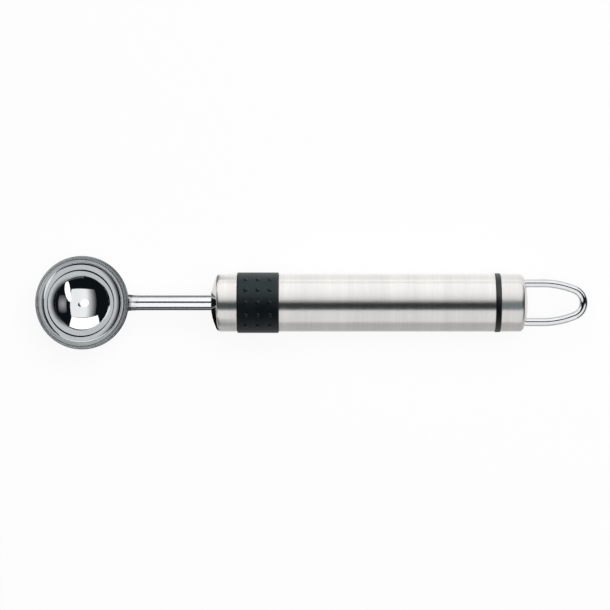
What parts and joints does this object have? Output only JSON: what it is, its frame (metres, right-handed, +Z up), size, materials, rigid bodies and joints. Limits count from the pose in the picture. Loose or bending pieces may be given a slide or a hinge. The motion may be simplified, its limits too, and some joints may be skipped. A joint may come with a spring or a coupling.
{
  "type": "melon baller",
  "caption": "Melon baller with a polished steel scoop bowl on a rod stem, a round steel handle with a nubbed rubber grip band and a steel wire hanging loop.",
  "frame": {"origin": "on the table under the middle of the tool's overall length and width, with the tool lying down", "axes": "+X along the handle from the bowl to the hanging loop, +Z up, out of the open bowl, +Y across the tool"},
  "size_m": [0.1838, 0.031, 0.0207],
  "materials": {
    "bowl_steel": "mirror polished stainless steel, ground round the outside of its edge",
    "weld_steel": "blended weld bead, lightly polished",
    "stem_steel": "polished round rod",
    "handle_steel": "satin, brushed round the handle",
    "core_plastic": "moulded, hidden inside the handle",
    "grip_rubber": "matt moulded rubber",
    "ring_plastic": "satin moulded black",
    "loop_steel": "polished round wire"
  },
  "bodies": {
    "root": {"bowl": "bowl_steel", "bowl_weld": "weld_steel", "stem": "stem_steel", "nose_cap": "handle_steel", "stem_plug": "core_plastic", "handle_core": "core_plastic", "grip_sleeve": "grip_rubber", "handle_tube": "handle_steel", "spacer_ring": "ring_plastic", "end_cap": "handle_steel", "loop_plug": "core_plastic", "hanging_loop": "loop_steel"}
  },
  "joints": []
}
